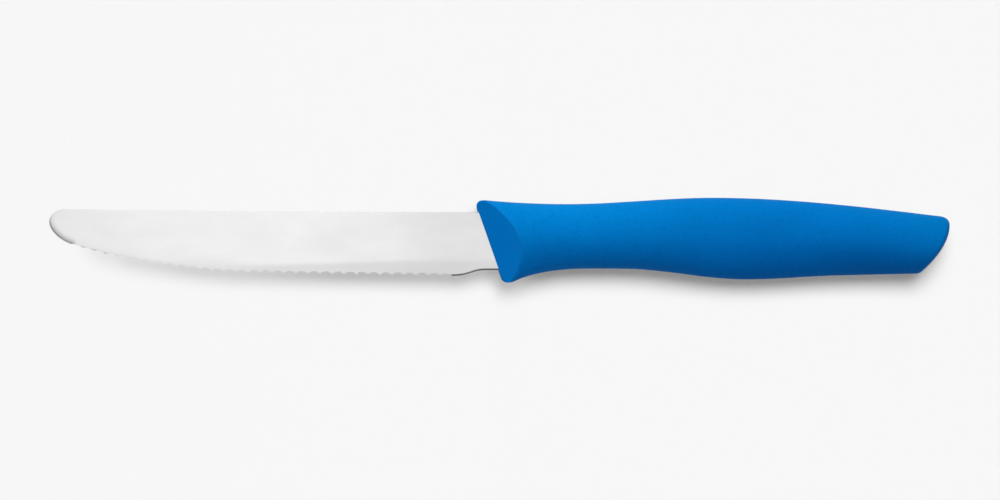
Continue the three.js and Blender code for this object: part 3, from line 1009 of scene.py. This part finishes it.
def satin_steel(settings):
    """Satin stainless steel: grinding lines across it, a coarser grind along the edge, rubbed rims, painted
    shade along the broken edges, and painted shade that darkens it towards the tip and the handle.
    """
    material, tree, shader = new_material("satin_steel")
    lines = grain(tree, STEEL_LINES, 3.0)
    patches = grain(tree, STEEL_PATCHES, 2.0)
    band_lines = grain(tree, GRIND_LINES, 3.0)
    band = attribute(tree, "ground_band")
    edge = attribute(tree, "broken_edge")
    steel = Vector(settings.steel)
    dark = rgba(DARK_STEEL * steel)
    colour = tinted(tree, mapped(tree, patches, NOISE_LOW, NOISE_HIGH, 0.0, 0.7), rgba(steel), dark)
    colour = tinted(tree, mapped(tree, lines, 0.35, 0.75, 0.0, 0.2), colour, dark)
    colour = tinted(tree, times(tree, band, 0.55), colour, dark)
    # Painted shade: the broken edges are coloured darker
    colour = tinted(tree, edge, colour, rgba(EDGE_PAINTED_SHADE * steel))
    # Painted shade: the steel is darker towards the tip and the handle
    painted_shade = painted_light_along(tree, blade_stops(STEEL_PAINTED_SHADE))
    tree.links.new(tinted(tree, 1.0, colour, painted_shade, "MULTIPLY"), shader.inputs["Base Color"])
    smoothest, roughest = settings.roughness - 0.03, settings.roughness + 0.04
    rough = mapped(tree, patches, NOISE_LOW, NOISE_HIGH, smoothest, roughest)
    rough = maths(tree, "ADD", rough, times(tree, band, 0.05))
    rough = maths(tree, "SUBTRACT", rough, times(tree, edge, 0.14))
    rough = maths(tree, "SUBTRACT", rough, times(tree, wear(tree, 0.6), 0.04))
    tree.links.new(rough, shader.inputs["Roughness"])
    height = maths(tree, "ADD", lines, times(tree, times(tree, band_lines, band), 1.5))
    add_bump(tree, shader, height, 0.03, 0.02 * MM)
    shader.inputs["Metallic"].default_value = 1.0
    return material


def blue_moulding(settings):
    """Matt blue plastic with the fine grain of its mould, faint mottling and rubbed edges, painted light that
    makes the front facets lighter and bluer, and painted shade that makes it darker and bluer towards the
    butt.
    """
    material, tree, shader = new_material("blue_moulding")
    fine = grain(tree, MOULD_GRAIN, 2.0)
    pits = grain(tree, MOULD_PITS, 3.0)
    patches = grain(tree, MOULD_PATCHES, 2.0)
    rubbed = wear(tree, 0.5)
    facet = attribute(tree, "front_facet")
    blue = Vector(settings.blue)
    deep = rgba(DEEP_BLUE * blue)
    light = rgba(min(1.0, RUBBED_BLUE * part + RUBBED_LIFT) for part in blue)
    mottling = mapped(tree, facet, 0.0, 1.0, 1.0, FACET_MOTTLING)
    patched = times(tree, mapped(tree, patches, NOISE_LOW, NOISE_HIGH, 0.0, 0.3), mottling)
    pitted = times(tree, mapped(tree, pits, 0.5, 0.75, 0.0, 0.85), mottling)
    # Painted light: the front facets are coloured lighter
    colour = tinted(tree, facet, rgba(blue), rgba(FACET_PAINTED_LIGHT * blue))
    colour = tinted(tree, patched, colour, deep)
    colour = tinted(tree, pitted, colour, deep)
    colour = tinted(tree, rubbed, colour, light)
    # Painted shade: the moulding is darker and bluer towards the butt
    painted_shade = painted_light_along(tree, handle_stops(BLUE_PAINTED_SHADE))
    tree.links.new(tinted(tree, 1.0, colour, painted_shade, "MULTIPLY"), shader.inputs["Base Color"])
    smoothest, roughest = settings.roughness - 0.05, settings.roughness + 0.06
    rough = mapped(tree, fine, NOISE_LOW, NOISE_HIGH, smoothest, roughest)
    rough = maths(tree, "SUBTRACT", rough, times(tree, rubbed, 0.12))
    tree.links.new(rough, shader.inputs["Roughness"])
    height = maths(tree, "ADD", fine, times(tree, pits, 1.5))
    add_bump(tree, shader, height, 0.3, 0.05 * MM)
    shader.inputs["Specular IOR Level"].default_value = 0.02
    shader.inputs["Specular Tint"].default_value = rgba(settings.sheen)
    return material


def seen_rays(tree):
    """Masks of the rays that come from the camera, and of those that come from metal or glass."""
    path = add_node(tree, "ShaderNodeLightPath").outputs
    return path["Is Camera Ray"], maths(tree, "MAXIMUM", path["Is Glossy Ray"], path["Is Transmission Ray"])


def pale_floor(settings):
    """A matt pale sheet with painted light: towards the tip, and faintly below the handle's toe, camera and
    mirror rays see it glow, so that the cast shadow is painted paler there."""
    material, tree, shader = new_material("pale_floor")
    shader.inputs["Base Color"].default_value = rgba(settings.floor)
    shader.inputs["Roughness"].default_value = 1.0
    shader.inputs["Specular IOR Level"].default_value = 0.0
    toe_stops = [(ORIGIN.x + at, level) for at, level in TOE_GLOW]
    # Painted light: where the floor glows, its cast shadow is painted paler
    glow = painted_light_along(tree, blade_stops(TIP_GLOW) + toe_stops)
    sheet = add_node(tree, "ShaderNodeEmission", {"Color": rgba(settings.floor), "Strength": 1.0})
    lit = add_node(tree, "ShaderNodeMixShader", {
        0: times(tree, maths(tree, "MAXIMUM", *seen_rays(tree)), glow),
        1: shader.outputs["BSDF"],
        2: sheet.outputs["Emission"],
    })
    tree.links.new(lit.outputs["Shader"], tree.nodes["Material Output"].inputs["Surface"])
    return material


def studio_world(settings):
    """A soft overhead light that falls off towards the near side, on a background as pale as the floor."""
    world = bpy.data.worlds.new("studio")
    world.use_nodes = True
    tree = world.node_tree
    background = tree.nodes["Background"]
    way = add_node(tree, "ShaderNodeTexCoord").outputs["Generated"]
    facing = add_node(tree, "ShaderNodeVectorMath", {0: way, 1: SKY_FROM}, operation="DOT_PRODUCT")
    height = mapped(tree, facing.outputs["Value"], -1.0, 1.0, 0.0, 1.0)
    ramp = add_node(tree, "ShaderNodeValToRGB", {"Fac": height})
    set_stops(ramp, SKY_LEVELS)
    from_camera, mirrored = seen_rays(tree)
    colour = tinted(tree, mirrored, rgba(settings.ambient), ramp.outputs["Color"])
    colour = tinted(tree, from_camera, colour, rgba(settings.floor))
    tree.links.new(colour, background.inputs["Color"])
    background.inputs["Strength"].default_value = 1.0
    return world


def sun(name, direction, strength, width, shadow):
    """A soft lamp whose light comes from a direction."""
    lamp = bpy.data.lights.new(name, "SUN")
    lamp.energy = strength
    lamp.angle = width
    lamp.use_shadow = shadow
    holder = bpy.data.objects.new(name, lamp)
    holder.rotation_euler = direction.to_track_quat("Z", "Y").to_euler()
    holder.visible_glossy = False
    bpy.context.scene.collection.objects.link(holder)
    return holder


def shadow_only(lamp, piece):
    """Lets one piece alone hold back a lamp's light, so that the others throw a paler shadow."""
    blockers = bpy.data.collections.new(lamp.name + "_shadow")
    blockers.objects.link(piece)
    lamp.light_linking.blocker_collection = blockers


def lay_floor(settings):
    """A wide sheet just below the knife."""
    bm = bmesh.new()
    bmesh.ops.create_grid(bm, x_segments=1, y_segments=1, size=FLOOR_REACH)
    floor = object_from(bm, "floor")
    floor.location.z = CAD_BOX[0].z - FLOOR_GAP
    floor.data.materials.append(pale_floor(settings))


def hang_lamps(settings):
    """Main lamps above the spine, a low lamp behind them, and the light that the floor throws back."""
    handle = bpy.data.objects["moulded_handle"]
    key_strength = settings.key_strength / len(KEY_FROM)
    top_strength = settings.top_strength / len(KEY_FROM)
    for number, direction in enumerate(KEY_FROM, start=1):
        sun(f"key_lamp_{number}", direction, key_strength, KEY_WIDTH, True)
        shadow_only(sun(f"top_lamp_{number}", direction, top_strength, KEY_WIDTH, True), handle)
    sun("bounce_lamp", BOUNCE_FROM, settings.bounce_strength, WIDE_WIDTH, False)
    fill = sun("fill_lamp", FILL_FROM, settings.fill_strength, WIDE_WIDTH, False)
    fill.data.color = settings.fill_colour


def set_camera(settings):
    """A camera straight above the knife that takes in a width at the blade."""
    camera = bpy.data.cameras.new("camera")
    camera.lens = settings.lens
    camera.clip_end = CAMERA_REACH
    holder = bpy.data.objects.new("camera", camera)
    distance = settings.view_width * camera.lens / camera.sensor_width
    holder.location = ORIGIN + PICTURE_MIDDLE + Vector((0, 0, distance))
    bpy.context.scene.collection.objects.link(holder)
    bpy.context.scene.camera = holder


class KNIFE_OT_make_blade(bpy.types.Operator):
    """Model the scalloped blade with its tang and give it its satin steel"""

    bl_idname = "knife.make_blade"
    bl_label = "Make Blade"

    def execute(self, context):
        settings = context.scene.knife_blade
        bm = blade_shell(settings)
        add_tang(bm)
        piece = piece_from(bm, "scalloped_blade")
        shade(piece, BLADE_SHARP_ANGLE)
        dress(piece, "blade", satin_steel(settings))
        return {"FINISHED"}


class KNIFE_OT_make_handle(bpy.types.Operator):
    """Model the moulded handle with its facets, butt and slot and give it its blue plastic"""

    bl_idname = "knife.make_handle"
    bl_label = "Make Handle"

    def execute(self, context):
        settings = context.scene.knife_handle
        piece = piece_from(handle_shell(settings), "moulded_handle")
        cut(piece, tang_slot(settings))
        shade(piece, HANDLE_SHARP_ANGLE)
        dress(piece, "handle", blue_moulding(settings))
        return {"FINISHED"}


class KNIFE_OT_set_stage(bpy.types.Operator):
    """Lay the floor, hang the lamps and set the camera straight above the knife"""

    bl_idname = "knife.set_stage"
    bl_label = "Set Stage"

    def execute(self, context):
        settings = context.scene.knife_stage
        context.scene.view_settings.view_transform = "Standard"
        context.scene.world = studio_world(settings)
        lay_floor(settings)
        hang_lamps(settings)
        set_camera(settings)
        return {"FINISHED"}


class KNIFE_PT_panel(bpy.types.Panel):
    bl_label = "Serrated Table Knife"
    bl_idname = "KNIFE_PT_panel"
    bl_space_type = "VIEW_3D"
    bl_region_type = "UI"
    bl_category = "Knife"

    def draw(self, context):
        groups = (
            ("knife.make_blade", context.scene.knife_blade),
            ("knife.make_handle", context.scene.knife_handle),
            ("knife.set_stage", context.scene.knife_stage),
        )
        for operator, settings in groups:
            box = self.layout.box()
            box.operator(operator)
            for name in settings.bl_rna.properties.keys():
                if name not in ("rna_type", "name"):
                    box.prop(settings, name)


CLASSES = (
    KnifeBladeSettings,
    KnifeHandleSettings,
    KnifeStageSettings,
    KNIFE_OT_make_blade,
    KNIFE_OT_make_handle,
    KNIFE_OT_set_stage,
    KNIFE_PT_panel,
)


def register():
    for kind in CLASSES:
        bpy.utils.register_class(kind)
    bpy.types.Scene.knife_blade = PointerProperty(type=KnifeBladeSettings)
    bpy.types.Scene.knife_handle = PointerProperty(type=KnifeHandleSettings)
    bpy.types.Scene.knife_stage = PointerProperty(type=KnifeStageSettings)


def unregister():
    del bpy.types.Scene.knife_stage
    del bpy.types.Scene.knife_handle
    del bpy.types.Scene.knife_blade
    for kind in reversed(CLASSES):
        bpy.utils.unregister_class(kind)


def main():
    register()
    bpy.ops.knife.make_blade()
    bpy.ops.knife.make_handle()
    bpy.ops.knife.set_stage()


if __name__ == "__main__":
    main()
